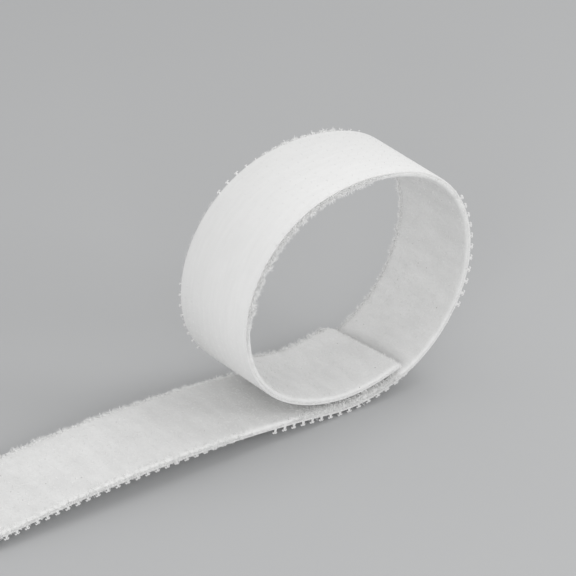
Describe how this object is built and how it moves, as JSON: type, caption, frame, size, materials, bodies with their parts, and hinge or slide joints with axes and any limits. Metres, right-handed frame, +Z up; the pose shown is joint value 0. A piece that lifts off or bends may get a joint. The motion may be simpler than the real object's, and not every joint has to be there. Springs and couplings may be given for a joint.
{
  "type": "hook and loop tape",
  "caption": "Strip of back-to-back hook and loop tape closed into a loop, hooks outside and pile inside, free end pressed on its own start, tail left free.",
  "frame": {"origin": "middle of the underside's bounding box, on the surface that the tape lies on", "axes": "+X along the tape from the tail's cut end to the loop, +Y across the tape's width, +Z up from the surface"},
  "size_m": [0.1316, 0.02, 0.0551],
  "materials": {
    "loop_fabric": "matte",
    "bond": "satin",
    "hook_plastic": "satin"
  },
  "bodies": {
    "base": {"base_loop_fabric": "loop_fabric", "base_bond_film": "bond", "base_hook_strip": "hook_plastic"},
    "tail": {"tail_loop_fabric": "loop_fabric", "tail_bond_film": "bond", "tail_hook_strip": "hook_plastic"},
    "band": {"band_loop_fabric": "loop_fabric", "band_bond_film": "bond", "band_hook_strip": "hook_plastic"},
    "end": {"end_loop_fabric": "loop_fabric", "end_bond_film": "bond", "end_hook_strip": "hook_plastic"}
  },
  "joints": [
    {"name": "tail_lift", "type": "hinge", "parent": "base", "child": "tail", "pos_m": [0.00187, 0, 0.00541], "axis": [0, 1, 0], "range_deg": [0, 70]},
    {"name": "loop_open", "type": "hinge", "parent": "base", "child": "band", "pos_m": [0.06582, 0, 0.02761], "axis": [0, 1, 0], "range_deg": [0, 90]},
    {"name": "free_end_peel", "type": "hinge", "parent": "band", "child": "end", "pos_m": [0.02553, 0, 0.00675], "axis": [0, -1, 0], "range_deg": [0, 80]}
  ]
}
